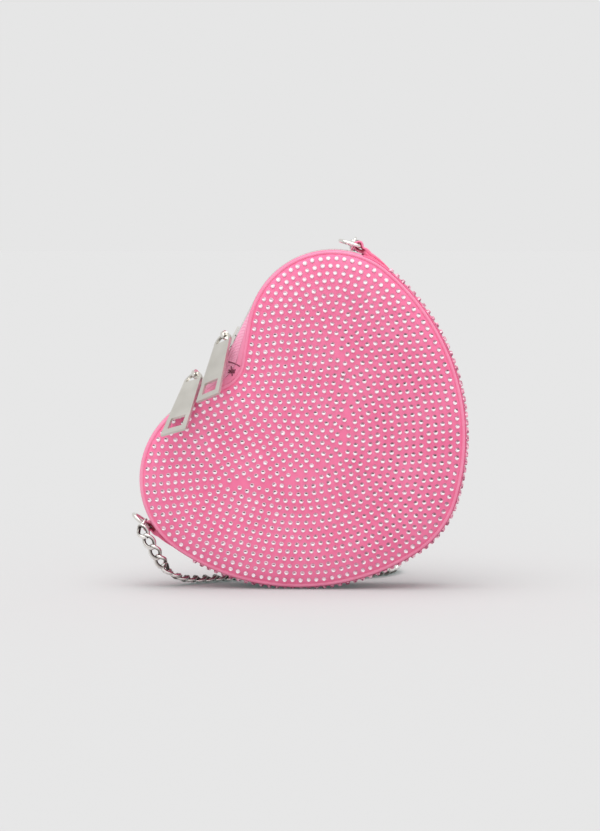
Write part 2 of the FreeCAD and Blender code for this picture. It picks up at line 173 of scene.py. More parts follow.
# Leans the heart's plane over and stands it on the floor, in metres
def toWorld(u, y, v):
    x = standX + u * leanCos + v * leanSin
    z = standZ - u * leanSin + v * leanCos
    return np.stack(np.broadcast_arrays(x, y, z), -1) * mm


def turnToWorld(u, y, v):
    return np.stack(np.broadcast_arrays(u * leanCos + v * leanSin, y, v * leanCos - u * leanSin), -1)


def lineAt(line, y):
    return toWorld(line[:, 0], y, line[:, 1])


def arcLine(centre, radius, first, last, n):
    t = np.radians(np.linspace(first, last, n, endpoint=False))
    return centre + radius * np.stack([np.cos(t), np.sin(t)], -1)


def straightLine(a, b, n):
    return a + (b - a) * np.linspace(0, 1, n, endpoint=False)[:, None]


# From the lower tab over both lobes to the upper tab, ends included
def zipLine(inset, point, rounding):
    reach = math.hypot(heart["lobeOffset"], point)
    turn = 180 + math.degrees(math.atan2(heart["lobeOffset"], point) - math.acos(heart["lobeRadius"] / reach))
    d = ray(turn)
    centre = np.array([(heart["lobeRadius"] + rounding + heart["lobeOffset"] * d[1]) / d[0], 0.0])
    radius = heart["lobeRadius"] - inset
    flank = straightLine(centre - (rounding + inset) * d, lobeC + radius * d, lineSteps["flank"])
    lobe = arcLine(lobeC, radius, turn, heart["zipEnd"], lineSteps["lobe"])
    half = np.vstack([flank, lobe, lobeC + radius * ray(heart["zipEnd"])])
    notch = arcLine(centre, rounding + inset, 180 - turn, turn - 180, lineSteps["notch"])
    return np.vstack([(half * flip)[::-1][:-1], notch, half])


# From the upper tab round the tip to the lower tab, ends included
def gussetLine(inset):
    lobe = arcLine(lobeC, heart["lobeRadius"] - inset, heart["zipEnd"], heart["lobeEnd"], lineSteps["tabLobe"])
    side = arcLine(sideC, heart["sideRadius"] - inset, heart["lobeEnd"], sideEnd, lineSteps["side"])
    tip = arcLine(tipC, heart["tipRadius"] - inset, sideEnd, -sideEnd, lineSteps["tip"])
    half = np.vstack([lobe, side])
    return np.vstack([half, tip, (half * flip)[::-1]])


def heartLoop(inset):
    return np.vstack([zipLine(inset, heart["notchPoint"], heart["notchRound"])[:-1], gussetLine(inset)[:-1]])


edgeLoop = heartLoop(0.0)


# Distance from points in the heart's plane to its edge, worked out in batches
def edgeDistance(points, batch=2000):
    dense = np.vstack([edgeLoop, (edgeLoop + np.roll(edgeLoop, -1, 0)) / 2])
    out = np.empty(len(points))
    for start in range(0, len(points), batch):
        part = points[start:start + batch]
        out[start:start + batch] = np.sqrt(((part[:, None] - dense[None]) ** 2).sum(-1)).min(1)
    return out


# Chain: the route's points in millimetres, lower ring to coil, the coil's own turns, coil to upper ring

chain = dict(width=5.6, pitch=6.2, linkLength=9.5, linkWidth=6.8, wire=2.0, slant=48.0, around=26, sides=8, aim=0.4,
             hungFrom=5.0, hungOver=9.0, coilRoll=45.0, rollOver=40.0, rollJitter=0.06, lowerEnd=118.0, upperEnd=205.0,
             coilCentre=(12.5, 66.5), coilRadius=37.5, coilStep=6.1, coilPoints=16, climb=0.5, floor=2.9,
             turnsIn=2.25, turnsOut=1.5, lowerHung=40.0, upperHung=36.0)
# painted shadow: in the purse's shade the links' upper sides are darkened, from the floor up, and less and less
# towards the back
chainShade = dict(share=0.25, top=7.0, topOver=3.0, back=58.0, backOver=30.0, upFrom=-1.0, upOver=2.5, depth=0.8)
lowerRoute = np.array([
    (-79.7, -11.2, 30.6), (-77.7, -14.4, 27.2), (-74.2, -15.0, 22.6), (-71.6, -13.6, 17.4), (-68.9, -10.5, 12.2),
    (-65.0, -6.0, 7.2), (-59.8, 0.5, 3.6), (-52.7, 8.6, 2.2), (-43.2, 16.6, 2.0), (-30.5, 23.6, 2.0),
    (-15.0, 27.9, 2.1), (-0.1, 29.0, 2.7), (6.9, 29.0, 2.9)])
upperRoute = np.array([
    (27.6, 11.2, 173.6), (27.7, 17.0, 173.0), (27.7, 22.4, 171.3), (27.5, 26.0, 167.2), (27.2, 27.4, 160.8),
    (26.7, 28.3, 151.5), (24.7, 29.4, 140.8), (21.7, 29.0, 118.6), (17.8, 29.6, 94.5), (12.2, 30.0, 71.3),
    (5.1, 31.0, 51.2), (-3.0, 33.6, 35.1), (-10.2, 37.0, 23.7), (-15.3, 41.8, 15.8), (-18.8, 47.4, 11.1),
    (-20.4, 53.9, 9.0), (-20.4, 60.9, 9.0)])


# The coil winds in, climbs one layer in half a turn and winds out again
def chainRoute():
    perTurn = chain["coilPoints"]
    t = np.arange(0, (chain["turnsIn"] + chain["turnsOut"]) * perTurn + 1) / perTurn
    inward = np.minimum(t, chain["turnsIn"])
    outward = np.maximum(t - chain["turnsIn"], 0)
    risen = softRise(t, chain["turnsIn"] - chain["climb"] / 2, chain["climb"])
    radius = (chain["coilRadius"] - chain["coilStep"] * (inward - outward)) / math.cos(math.pi / (2 * perTurn))
    angle = 2 * np.pi * (t - 0.25)
    x = chain["coilCentre"][0] + radius * np.cos(angle)
    y = chain["coilCentre"][1] + radius * np.sin(angle)
    coil = np.stack([x, y, chain["floor"] + chain["coilStep"] * risen], -1)
    return np.vstack([lowerRoute, coil, upperRoute[::-1]]) * mm


# The route smoothed into one line of points
def chainLine():
    points = chainRoute()
    data = bpy.data.curves.new("chainRoute", "CURVE")
    data.dimensions = "3D"
    spline = data.splines.new("NURBS")
    spline.points.add(len(points) - 1)
    spline.points.foreach_set("co", np.hstack([points, np.ones((len(points), 1))]).ravel())
    spline.order_u = 3
    spline.use_endpoint_u = True
    spline.resolution_u = 10
    route = bpy.data.objects.new("chainRoute", data)
    scene.collection.objects.link(route)
    bpy.context.view_layer.update()
    line = bpy.data.meshes.new_from_object(route)
    path = np.empty(len(line.vertices) * 3)
    line.vertices.foreach_get("co", path)
    bpy.data.objects.remove(route)
    return path.reshape(-1, 3)


# Twisted oval link: a ring of round wire whose width turns from one slant to the other along its
# length, so that neighbours cross at a right angle
def linkShape():
    a = np.linspace(0, 2 * np.pi, chain["around"], endpoint=False)
    half, wide = (chain["linkLength"] - chain["wire"]) / 2, (chain["linkWidth"] - chain["wire"]) / 2
    slant = np.radians(chain["slant"]) * np.cos(a)
    ring = np.stack([half * np.cos(a), wide * np.sin(a) * np.cos(slant), wide * np.sin(a) * np.sin(slant)], -1)
    tangent = unit(np.roll(ring, -1, 0) - np.roll(ring, 1, 0))
    inner = unit(-ring - tangent * (-ring * tangent).sum(1)[:, None])
    shape = tubeRings(ring, inner, np.cross(tangent, inner), chain["wire"] / 2, chain["sides"])
    return shape.reshape(-1, 3) * mm


# Links set along the line at one pitch, rolled on their sides in the coil
def makeChain():
    path = chainLine()
    s = lengthAlong(path)
    count = int(round(s[-1] / (chain["pitch"] * mm)))
    pitch = s[-1] / count
    at = (np.arange(count) + 0.5) * pitch
    centre = pointsAt(at, s, path)
    aim = pitch * chain["aim"]
    along = unit(pointsAt(at + aim, s, path) - pointsAt(at - aim, s, path))
    # the links' flat side faces forwards where the chain hangs, up on the floor, and backwards behind the purse
    hung = rise(centre[:, 2] / mm, chain["hungFrom"], chain["hungOver"])
    forward = np.where(at < s[-1] / 2, -1.0, 1.0)
    side = unit(np.cross(along, np.stack([np.zeros(count), forward * hung, 1.001 - hung], -1)))
    up = np.cross(side, along)
    fromEnds = np.minimum(at / mm - chain["lowerEnd"], (s[-1] - at) / mm - chain["upperEnd"])
    roll = np.radians(chain["coilRoll"]) * rise(fromEnds, 0, chain["rollOver"])
    roll = (roll + rng.normal(0, chain["rollJitter"], count))[:, None]
    basis = np.stack([along, side * np.cos(roll) + up * np.sin(roll), up * np.cos(roll) - side * np.sin(roll)], 1)
    shape = linkShape()
    verts = centre[:, None] + np.einsum("vk,nkc->nvc", shape, basis)
    linkFaces = gridFaces(chain["around"], chain["sides"], True, True)
    # painted shade: 0 on the inner side of a link's wire, where the neighbouring links pass
    innerShadeTone = 0.5 - 0.5 * np.cos(np.linspace(0, 2 * np.pi, chain["sides"], endpoint=False))

    # one stretch of the chain as its own piece, with the part of the line that it follows
    def stretch(name, first, last, body=None):
        chosen = (at >= first) & (at < last)
        middle, corners = centre[chosen], verts[chosen]
        n = len(middle)
        faces = (linkFaces[None] + (np.arange(n) * len(shape))[:, None, None]).reshape(-1, 4)
        mesh = meshFrom(name, corners, faces, recalc=False)
        # painted shadow of the purse on the low links of the lower run, darkest on their upper sides
        low = rise(middle[:, 2] / mm, chainShade["top"], -chainShade["topOver"])
        low = low * (at[chosen] < s[-1] * chainShade["share"])
        low = low * rise(middle[:, 1] / mm, chainShade["back"], -chainShade["backOver"])
        upper = rise((corners[..., 2] - middle[:, None, 2]) / mm, chainShade["upFrom"], chainShade["upOver"])
        tone = np.tile(innerShadeTone, (n, chain["around"], 1)).reshape(n, -1)
        addTone(mesh, "linkPaintedShade", "POINT", (tone * (1 - chainShade["depth"] * low[:, None] * upper)).ravel())
        piece = addPiece(name, mesh, "nickel", body=body)
        ends = pointsAt(np.array([first, last]), s, path)
        return piece, np.vstack([ends[:1], path[(s > first) & (s < last)], ends[1:]])
    lowCut, highCut = chain["lowerHung"] * mm, s[-1] - chain["upperHung"] * mm
    main = stretch("chainStrap", lowCut, highCut, "case")
    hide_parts("chain_lower_run", "chain_coil", "chain_upper_run")
    # the links next to each ring, as pieces on no body, with their placing baked in
    low = stretch("chainLowerEnd", 0.0, lowCut)
    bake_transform(low[0])
    high = stretch("chainUpperEnd", highCut, s[-1])
    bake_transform(high[0])
    return low, main, high


# A flat ribbon tied tight round one side of the coil: the outline round the four crossings of the chain
# there, swept to the ribbon's width; each point lies furthest out in its own direction
coilTie = dict(turn=75.0, crossings=((28.5, 3.75), (34.8, 3.75), (24.9, 8.9), (31.2, 8.9)),
               round=3.72, width=4.0, thick=0.4, points=64)


def makeCoilTie():
    t = np.linspace(0, 2 * np.pi, coilTie["points"], endpoint=False)
    way = np.stack([np.cos(t), np.sin(t)], -1)
    spots = np.array(coilTie["crossings"])
    furthest = spots[(way @ spots.T).argmax(1)]
    half, outer, inner = coilTie["width"] / 2, coilTie["round"], coilTie["round"] - coilTie["thick"]
    sides = ((outer, -half), (outer, half), (inner, half), (inner, -half))
    rows = np.stack([np.insert(furthest + r * way, 2, w, axis=1) for r, w in sides])
    a = math.radians(coilTie["turn"])
    x = chain["coilCentre"][0] + rows[..., 0] * math.cos(a) - rows[..., 2] * math.sin(a)
    y = chain["coilCentre"][1] + rows[..., 0] * math.sin(a) + rows[..., 2] * math.cos(a)
    verts = np.stack([x, y, rows[..., 1]], -1) * mm
    return addPiece("coilTie", meshFrom("coilTie", verts, gridFaces(4, rows.shape[1], True, True)), "plain_cloth")


coilRibbon = makeCoilTie()
chainPieces = makeChain()
print("chain", [round(lengthAlong(line)[-1], 4) for piece, line in chainPieces], "m")

# Panels: rings of the outline set in by growing amounts, their height a quarter of a rounded curve,
# then the last ring shrunk to one point, with a slight swell in the middle and puckers by the seam

panel = dict(crown=6.2, reach=22.5, edge=1.5, fullness=2.4, swell=0.7, swellOver=36.0, rings=26, inner=14,
             pucker=0.16, puckerPitch=5.3, puckerDrift=1.7, driftOver=11.0, puckerAt=3.4, puckerSpread=3.0)


def panelHeight(inset):
    t = rise(inset, panel["edge"], panel["reach"])
    crown = panel["crown"] * (1 - (1 - t) ** 2) ** (1 / panel["fullness"])
    return heart["seam"] + crown + panel["swell"] * softRise(inset, panel["edge"] + panel["reach"], panel["swellOver"])


def makePanel(name, side, *nodes):
    insets = panel["edge"] + panel["reach"] * np.linspace(0, 1, panel["rings"]) ** 2
    rings = [heartLoop(i) for i in insets]
    shrink = np.linspace(1, 0, panel["inner"] + 1)[1:-1]
    rings += [heartMiddle + (rings[panel["rings"] - 1] - heartMiddle) * k for k in shrink]
    flat = np.stack(rings)
    rows, cols = flat.shape[:2]
    depthIn = np.concatenate([np.repeat(insets, cols), edgeDistance(flat[panel["rings"]:].reshape(-1, 2))])
    depthIn = depthIn.reshape(rows, cols)
    around = lengthAlong(np.vstack([edgeLoop, edgeLoop[:1]]))[:-1]
    drift = panel["puckerDrift"] * np.sin(around / panel["driftOver"])
    wave = np.sin(around * 2 * np.pi / panel["puckerPitch"] + drift) * panel["pucker"]
    height = panelHeight(depthIn) - wave * np.exp(-(depthIn - panel["puckerAt"]) ** 2 / panel["puckerSpread"])
    height[0] = heart["seam"]
    verts = toWorld(flat[..., 0], side * height, flat[..., 1]).reshape(-1, 3)
    top = toWorld(heartMiddle[0], side * panelHeight(edgeDistance(heartMiddle[None])[0]), heartMiddle[1])
    under = toWorld(heartMiddle[0], side * heart["seam"], heartMiddle[1])
    verts = np.vstack([verts, top[None], under[None]])
    faces = gridFaces(rows, cols, False, True).tolist()
    j = np.arange(cols)
    last = (rows - 1) * cols
    faces += np.stack([last + j, last + (j + 1) % cols, np.full(cols, rows * cols)], -1).tolist()
    faces += np.stack([(j + 1) % cols, j, np.full(cols, rows * cols + 1)], -1).tolist()
    obj = addPiece(name, meshFrom(name, verts, faces), "stoned_cloth", *nodes)
    return obj


frontCover = makePanel("frontCover", -1, "front_cover", "front_foam_pad")
backCover = makePanel("backCover", 1, "back_cover", "back_foam_pad")
print("panels made")

# Stones: flat-backed, eight sided, with a low rim, slanting facets and a table in two halves

stones = dict(radius=1.2, height=1.05, pitch=3.95, row=3.62, first=4.1, table=0.62, foot=-0.12, rim=0.22, split=0.05,
              jitter=0.08, sizeJitter=0.03, turnJitter=0.22, fine=1800, slack=0.12, gap=4.0, closest=2.75, faces=19)
# Tones run from 0 for dark to 1 for bright, all painted light: the table's upper half is a painted dark reflection, a
# streak fainter on stones that face down and near the purse's top, and the upper facets carry painted shade, darker
# towards the right of the purse
stonePaintedLight = dict(streak=0.8, streakSpread=0.22, streakLimits=(0.05, 0.98), downFrom=-0.42, downOver=0.3,
                 topFrom=132.0, topOver=25.0, topFainter=0.7, rightFrom=-15.0, rightOver=60.0,
                 rim=0.4, facet=0.74, mixed=(0.25, 0.95), spread=0.04, limits=(0.03, 1.0))


# Rows of stones at equal distances from the heart's edge, right to the middle, evenly spaced on each row
def stoneRows():
    closed = np.vstack([edgeLoop, edgeLoop[:1]])
    s = lengthAlong(closed)
    ahead = unit(np.roll(edgeLoop, -1, 0) - edgeLoop)
    turned = ahead + np.roll(ahead, 1, 0)
    fine = np.linspace(0, s[-1], stones["fine"], endpoint=False)
    p = pointsAt(fine, s, closed)
    t = unit(pointsAt(fine, s, np.vstack([turned, turned[:1]])))
    inward = np.stack([-t[:, 1], t[:, 0]], -1)
    if (inward * (heartMiddle - p)).sum() < 0:
        inward = -inward
    found, levels = [], []
    inset, start = stones["first"], 0.75
    while True:
        q = p + inward * inset
        free = np.sqrt(((q[:, None] - p[None]) ** 2).sum(-1)).min(1) >= inset - stones["slack"]
        if not free.any():
            break
        q = q[free]
        breaks = np.flatnonzero(np.linalg.norm(np.diff(q, axis=0), axis=1) > stones["gap"]) + 1
        for run in np.split(q, breaks):
            whole = np.vstack([run, run[:1]]) if len(breaks) == 0 else run
            along = lengthAlong(whole)
            n = max(1, int(round(along[-1] / stones["pitch"])))
            found.append(pointsAt((np.arange(n) + start) / n * along[-1], along, whole))
            levels.append(np.full(n, inset))
        inset += stones["row"]
        start = 1 - start
    found, levels = np.vstack(found), np.concatenate(levels)
    near = np.sqrt(((found[:, None] - found[None]) ** 2).sum(-1))
    near[np.triu_indices(len(found))] = np.inf
    keep = (near > stones["closest"]).all(1)
    return found[keep], levels[keep]


# Painted light for eight rim facets (grey shade), eight slanting facets, the table's upper half (dark reflection), its
# lower half (highlight) and the back
def facetPaintedLights(centre, out, facing, mixed):
    n = len(centre)
    streak = np.clip(rng.normal(stonePaintedLight["streak"], stonePaintedLight["streakSpread"], n), *stonePaintedLight["streakLimits"])
    streak *= rise(out[:, 2], stonePaintedLight["downFrom"], stonePaintedLight["downOver"])
    streak *= 1 - stonePaintedLight["topFainter"] * rise(centre[:, 2] / mm, stonePaintedLight["topFrom"], stonePaintedLight["topOver"])
    # painted shade on the upper slanting facets, deeper towards the right of the purse
    shadow = 0.2 + 0.35 * rise(centre[:, 0] / mm, stonePaintedLight["rightFrom"], stonePaintedLight["rightOver"])
    shadow = shadow * (0.55 + 0.45 * streak)
    tone = np.ones((n, stones["faces"]))
    tone[:, :8] = stonePaintedLight["rim"]
    tone[:, 8:16] = stonePaintedLight["facet"] - shadow[:, None] * np.sin(facing)[None]
    tone[:, 16] = 0.85 - 0.8 * streak
    tone[:, 17] = 1.0 - 0.1 * streak
    # painted reflections of the cloth round the gusset stones, in random tones
    if mixed:  # seen from the side each facet shows another part of the cloth round it
        tone[:, :16] = rng.uniform(*stonePaintedLight["mixed"], (n, 16))
    return np.clip(tone * (1 + rng.normal(0, stonePaintedLight["spread"], tone.shape)), *stonePaintedLight["limits"])


# One mesh of many stones at these points, each with its outward way and an upright across it
def stoneMesh(name, centre, out, size, mixed=False):
    n = len(centre)
    up = np.array([0.0, 0.0, 1.0]) - out * out[:, 2:3]
    up /= np.maximum(np.linalg.norm(up, axis=1), 1e-6)[:, None]
    turn = rng.normal(0, stones["turnJitter"], n)[:, None]
    right = np.cross(up, out)
    basis = np.stack([right * np.cos(turn) - up * np.sin(turn), up * np.cos(turn) + right * np.sin(turn), out], 1)
    halfSide = math.radians(22.5)
    a = halfSide + np.radians(45 * np.arange(8))
    rim = np.stack([np.cos(a), np.sin(a)], -1)
    table = stones["table"]
    levels = ((1.0, stones["foot"]), (1.0, stones["rim"]), (table, 1.0))
    flatHalf = table * math.cos(halfSide)
    middle = np.array([[-flatHalf, stones["split"], 1.0], [flatHalf, stones["split"], 1.0]])
    shape = np.vstack([np.hstack([rim * r, np.full((8, 1), h)]) for r, h in levels] + [middle])
    faces = [(k + j, k + (j + 1) % 8, k + 8 + (j + 1) % 8, k + 8 + j) for k in (0, 8) for j in range(8)]
    # table: the upper half holds corners 0 to 3, the lower half corners 4 to 7
    faces += [(25, 16, 17, 18, 19, 24), (24, 20, 21, 22, 23, 25), tuple(range(7, -1, -1))]
    scale = size * np.array([stones["radius"], stones["radius"], stones["height"]]) * mm
    verts = centre[:, None] + np.einsum("nvk,nkc->nvc", shape * scale, basis)
    verts[..., 2] = np.maximum(verts[..., 2], 0.0)
    every = [tuple(i + k * len(shape) for i in f) for k in range(n) for f in faces]
    mesh = meshFrom(name, verts, every, smooth=False, recalc=False)
    corners = np.array([len(f) for f in faces] * n)
    # each facet's painted light, one tone for all its corners
    addTone(mesh, "facetPaintedLight", "CORNER", np.repeat(facetPaintedLights(centre, out, a + halfSide, mixed).ravel(), corners))
    return mesh


def makePanelStones(name, side):
    spots, inset = stoneRows()
    spots = spots + rng.normal(0, stones["jitter"], spots.shape)
    h = 0.05
    slope = (panelHeight(inset + h) - panelHeight(inset - h)) / (2 * h)
    nearest = edgeLoop[((spots[:, None] - edgeLoop[None]) ** 2).sum(-1).argmin(1)]
    outward = unit(nearest - spots)
    out = unit(turnToWorld(outward[:, 0] * slope, np.full(len(spots), float(side)), outward[:, 1] * slope))
    centre = toWorld(spots[:, 0], side * panelHeight(inset), spots[:, 1])
    size = rng.normal(1.0, stones["sizeJitter"], len(spots))[:, None, None]
    return addPiece(name, stoneMesh(name, centre, out, size), "stoned_cloth")


frontStones = makePanelStones("frontStones", -1)
backStones = makePanelStones("backStones", 1)
print("panel stones", len(frontStones.data.polygons) // stones["faces"])

# Piping: a round cord carried along the outline, swelling a little between its stitches

piping = dict(radius=1.0, inset=1.35, middle=1.1, swell=0.05, stitch=4.2, sides=12)


def makePiping(name, side, node):
    line = heartLoop(piping["inset"])
    t = unit(np.roll(line, -1, 0) - np.roll(line, 1, 0))
    outward = np.stack([t[:, 1], -t[:, 0]], -1)
    s = lengthAlong(line)
    radius = piping["radius"] * (1 - piping["swell"] * (0.5 + 0.5 * np.cos(2 * np.pi * s / piping["stitch"])))
    b = np.linspace(0, 2 * np.pi, piping["sides"], endpoint=False)
    flat = line[:, None] + outward[:, None] * (radius[:, None] * np.cos(b))[..., None]
    y = side * (heart["seam"] + piping["middle"]) + radius[:, None] * np.sin(b)
    verts = toWorld(flat[..., 0], y, flat[..., 1])
    uv = np.stack(np.broadcast_arrays(s[:, None], b[None]), -1)
    mesh = meshFrom(name, verts, gridFaces(len(line), piping["sides"], True, True), uv)
    return addPiece(name, mesh, "piping_cloth", node)


frontPiping = makePiping("frontPiping", -1, "front_piping")
backPiping = makePiping("backPiping", 1, "back_piping")


# Bands: rows of lines one beside the other, out along one face and back along the other, ends closed
def makeBand(name, outerRows, innerRows, slotName, node):
    rows = np.stack(outerRows + innerRows[::-1])
    m, n = rows.shape[:2]
    s = lengthAlong(rows[0]) / mm
    across = np.concatenate([np.linspace(0, 1, len(outerRows)), np.linspace(1, 0, len(innerRows))])
    uv = np.stack(np.broadcast_arrays(s[None], across[:, None] * 10), -1)
    faces = gridFaces(m, n, True, False).tolist()
    k = np.arange(m) * n
    faces += [k.tolist(), (k[::-1] + n - 1).tolist()]
    return addPiece(name, meshFrom(name, rows, faces, uv), slotName, node)


# Lower gusset: cloth between the pipings, standing a hair proud at its middle
gusset = dict(half=13.75, cloth=0.55, proud=0.5, flatness=6, rows=13, bareUpper=15.0, bareLower=23.0,
              stoneSize=1.05, stoneRows=3, rowPitch=3.75, firstStone=4.0, lastStone=3.0)


def gussetSwell(y):
    return gusset["proud"] * (1 - (y / gusset["half"]) ** gusset["flatness"])


def makeGusset():
    ys = np.linspace(-gusset["half"], gusset["half"], gusset["rows"])
    outer = [lineAt(gussetLine(-gussetSwell(y)), y) for y in ys]
    inner = [lineAt(gussetLine(gusset["cloth"]), y) for y in ys]
    return makeBand("gussetCover", outer, inner, "stoned_cloth", "gusset_cover")


def makeGussetStones():
    line = gussetLine(0.0)
    s = lengthAlong(line)
    t = unit(np.gradient(line, axis=0))
    outward = np.stack([-t[:, 1], t[:, 0]], -1)
    if (outward * (line - heartMiddle)).sum() < 0:
        outward = -outward
    rows = np.arange(-gusset["stoneRows"], gusset["stoneRows"] + 1) * gusset["rowPitch"]
    spots = np.arange(gusset["firstStone"], s[-1] - gusset["lastStone"], stones["pitch"])
    spots = spots[(spots > gusset["bareUpper"]) & (s[-1] - spots > gusset["bareLower"])]  # bare next to the tabs
    at, y = np.tile(spots, len(rows)), np.repeat(rows, len(spots))
    way = pointsAt(at, s, outward)
    flat = pointsAt(at, s, line) + way * gussetSwell(y)[:, None]
    out = unit(turnToWorld(way[:, 0], np.zeros(len(y)), way[:, 1]))
    size = np.full((len(y), 1, 1), gusset["stoneSize"])
    mesh = stoneMesh("gussetStones", toWorld(flat[:, 0], y, flat[:, 1]), out, size, True)
    return addPiece("gussetStones", mesh, "stoned_cloth")


gussetCover = makeGusset()
gussetStones = makeGussetStones()
print("gusset stones", len(gussetStones.data.polygons) // stones["faces"])

# Zip strip: facings and tapes whose notch grows shallower from the panels to the teeth

zipper = dict(y=-4.0, flat=4.8, tapeEdge=3.0, tapeWidth=5.0, facing=0.9, tape=0.7, mouth=11.5, mouthEnd=2.6,
              parted=2.0, bulge=0.12, facingRows=6, tapeRows=4)


def zipRow(inset, y):
    side = -1 if y < zipper["y"] else 1
    slopeStart = zipper["y"] + side * zipper["flat"]
    edge = side * heart["seam"]
    share = min((edge - y) / (edge - slopeStart), 1.0)
    point = heart["notchPoint"] + (heart["zipPoint"] - heart["notchPoint"]) * share
    rounding = heart["notchRound"] + (heart["zipRound"] - heart["notchRound"]) * share
    return zipLine(inset, point, rounding)


def makeFacing(name, side, node):
    near = zipper["y"] + side * (zipper["tapeEdge"] + zipper["tapeWidth"])
    ys = np.linspace(side * heart["seam"], near, zipper["facingRows"])
    bulge = zipper["bulge"] * np.sin(np.linspace(0, np.pi, zipper["facingRows"]))
    outer = [lineAt(zipRow(-w, y), y) for y, w in zip(ys, bulge)]
    inner = [lineAt(zipRow(zipper["facing"], y), y) for y in ys]
    return makeBand(name, outer, inner, "plain_cloth", node)


# The tape's edge draws back where the zip is open between the sliders
def makeTape(name, side, node):
    far = zipper["y"] + side * (zipper["tapeEdge"] + zipper["tapeWidth"])
    flat = zipper["y"] + side * zipper["flat"]
    near = zipper["y"] + side * zipper["tapeEdge"]
    ys = np.concatenate([np.linspace(far, flat, zipper["tapeRows"]), np.linspace(flat, near, zipper["tapeRows"])[1:]])
    top = (zipper["facing"] - zipper["tape"]) / 2
    outer, inner = [], []
    for y in ys:
        rowOut, rowIn = zipRow(top, y), zipRow(top + zipper["tape"], y)
        s = lengthAlong(rowOut)
        opened = softRise(np.abs(s - s[-1] / 2), zipper["mouth"] + zipper["mouthEnd"], -zipper["mouthEnd"])
        limit = zipper["y"] + side * (zipper["tapeEdge"] + zipper["parted"] * opened)
        place = np.maximum(y, limit) if side > 0 else np.minimum(y, limit)
        outer.append(lineAt(rowOut, place))
        inner.append(lineAt(rowIn, place))
    return makeBand(name, outer, inner, "plain_cloth", node)


zipFacings = [makeFacing("frontFacing", -1, "front_zip_facing"), makeFacing("backFacing", 1, "back_zip_facing")]
zipTapes = [makeTape("frontTape", -1, "front_zip_tape"), makeTape("backTape", 1, "back_zip_tape")]
print("zip strip made")

# Notch: a tack of dark thread on the front facing: a dark line across it, painted shade along the facing's crease (the
# seam points), and stitches that cross under that line; each thread is a round tube along points of the facing, given
# as x and z
tack = dict(seam=((-35.2, 114.1), (-33.0, 113.6), (-31.0, 112.7), (-29.2, 111.8)), star=(-33.4, 109.2),
            turns=(98.0, 148.0, 22.0, 65.0, -18.0), stitches=(2.4, 1.5, 2.0, 1.2, 1.7),
            thread=0.36, creaseShadeThread=0.28, sides=8, rows=40)


def makeNotchTack():
    ys = np.linspace(-heart["seam"], zipper["y"] - zipper["tapeEdge"], tack["rows"])
    surface = np.vstack([lineAt(zipRow(0.0, y), y) for y in ys])

    def onFacing(spots):
        wanted = np.array(spots) * mm
        return surface[((surface[None, :, ::2] - wanted[:, None]) ** 2).sum(-1).argmin(1)]
    turn = np.radians(tack["turns"])
    way = np.array(tack["stitches"])[:, None] * np.stack([np.cos(turn), np.sin(turn)], -1)
    middle = np.array(tack["star"])
    # the crease line: a dark thread that is painted shade along the facing's crease
    threads = [(onFacing(tack["seam"]), tack["creaseShadeThread"])]
    threads += [(onFacing([middle - w, middle, middle + w]), tack["thread"]) for w in way]
    verts, faces = [], []
    k = tack["sides"]
    for line, radius in threads:
        along = unit(np.gradient(line, axis=0))
        side = unit(np.cross(along, (0.0, 1.0, 0.0)))
        first = sum(len(v) for v in verts)
        verts.append(tubeRings(line, side, np.cross(side, along), radius * mm, k).reshape(-1, 3))
        last = first + (len(line) - 1) * k
        faces += (gridFaces(len(line), k, False, True) + first).tolist()
        faces += [list(range(first, first + k)), list(range(last, last + k))]
    return addPiece("notchTack", meshFrom("notchTack", np.vstack(verts), faces), "plain_cloth")


notchTack = makeNotchTack()

# Tabs: a strap folded round the ring's bar and sewn down behind it, drawn along and out from the edge;
# the profile gives, from the strap's middle to its side, the share of its half width and of its thickness

tabs = dict(turn=104.0, back=13.0, reach=5.5, width=9.0, strap=1.6, middle=2.15, round=2.05, steps=25, bendSteps=15,
            sewn=2.2, thinned=0.8, drop=1.1, dropFrom=2.0, dropOver=3.6, sink=0.1, swellOver=2.2, foldFrom=1.5,
            profile=((0, 1), (0.4, 1), (0.76, 1), (0.8, 0.86), (0.84, 1), (0.93, 1), (0.985, 0.8), (1, 0.35)))


# The strap's middle line, x along the edge and y out from it, and how much of its thickness is left there
def tabLine():
    w = tabs["strap"] / 2
    long = tabs["reach"] + tabs["back"]
    u = np.linspace(0, 1, tabs["steps"] + 1)
    low = np.stack([long * u - tabs["back"], w + (tabs["middle"] - tabs["round"] - w) * u ** 2], -1)[:-1]
    bend = np.radians(np.linspace(-90, 90, tabs["bendSteps"]))
    turn = np.stack([tabs["reach"] + tabs["round"] * np.cos(bend), tabs["middle"] + tabs["round"] * np.sin(bend)], -1)
    t = u[1:]
    ease = softRise(t * long, 0, tabs["sewn"])
    onLow = low[0, 1] + (low[-1, 1] - low[0, 1]) * (1 - t) ** 2 + 2 * w
    high = np.stack([tabs["reach"] - long * t, (tabs["middle"] + tabs["round"]) * (1 - ease) + onLow * ease], -1)
    line = np.vstack([low, turn, high])
    # behind the zip's end the strap lies on the gusset, follows its curve and thins out
    behind = np.maximum(-line[:, 0], 0)
    thin = 1 - tabs["thinned"] * behind / tabs["back"]
    down = tabs["drop"] * softRise(line[:, 0], tabs["dropFrom"], -tabs["dropOver"])
    line[:, 1] = line[:, 1] * thin - down - behind ** 2 / (2 * heart["lobeRadius"])
    return line, thin


